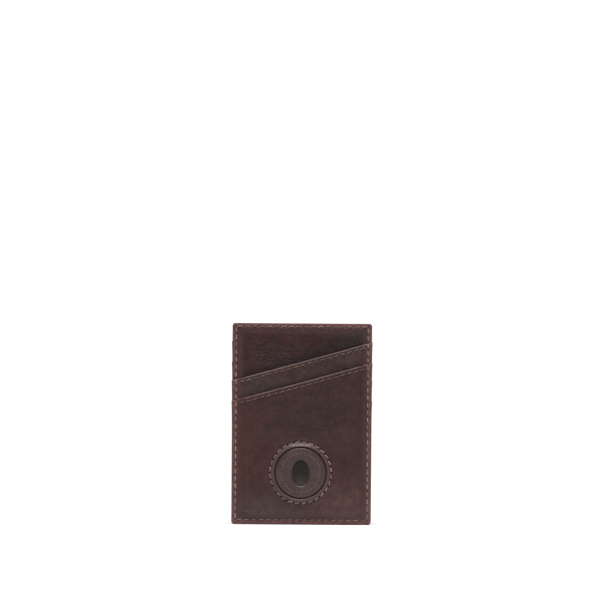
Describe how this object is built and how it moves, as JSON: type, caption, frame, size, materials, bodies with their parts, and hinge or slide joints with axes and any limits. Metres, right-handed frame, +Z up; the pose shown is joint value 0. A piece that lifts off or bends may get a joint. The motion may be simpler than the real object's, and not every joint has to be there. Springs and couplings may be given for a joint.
{
  "type": "card wallet",
  "caption": "Slim upright leather card wallet with slanted card pockets on both faces, a centre slot open at the top and a round medallion in a stitched window.",
  "frame": {"origin": "under the middle of the bottom edge, midway between the foremost and rearmost faces", "axes": "+Z up towards the centre slot's mouth, +X to the right seen from the front, the front with the medallion faces -Y"},
  "size_m": [0.07, 0.01, 0.1008],
  "materials": {
    "leather": "dark brown smooth leather, matt with a soft sheen, fine grain and light marks",
    "medallion": "the same dark brown leather, pressed smooth, slightly glossier rim",
    "inlay": "near-black brown leather, matt",
    "lining": "thin dark woven lining, matt",
    "thread": "twisted waxed thread, dull tan brown"
  },
  "bodies": {
    "root": {"front_body_panel": "leather", "front_body_lining": "lining", "front_upper_pocket": "leather", "front_upper_pocket_lining": "lining", "front_lower_pocket": "leather", "front_lower_pocket_lining": "lining", "medallion_backing": "leather", "medallion_disc": "medallion", "medallion_inlay": "inlay", "back_body_panel": "leather", "back_body_lining": "lining", "back_upper_pocket": "leather", "back_upper_pocket_lining": "lining", "back_lower_pocket": "leather", "back_lower_pocket_lining": "lining", "perimeter_thread_front": "thread", "perimeter_thread_back": "thread", "front_top_thread": "thread", "back_top_thread": "thread", "front_upper_mouth_thread": "thread", "front_lower_mouth_thread": "thread", "back_upper_mouth_thread": "thread", "back_lower_mouth_thread": "thread", "window_thread": "thread"}
  },
  "joints": []
}
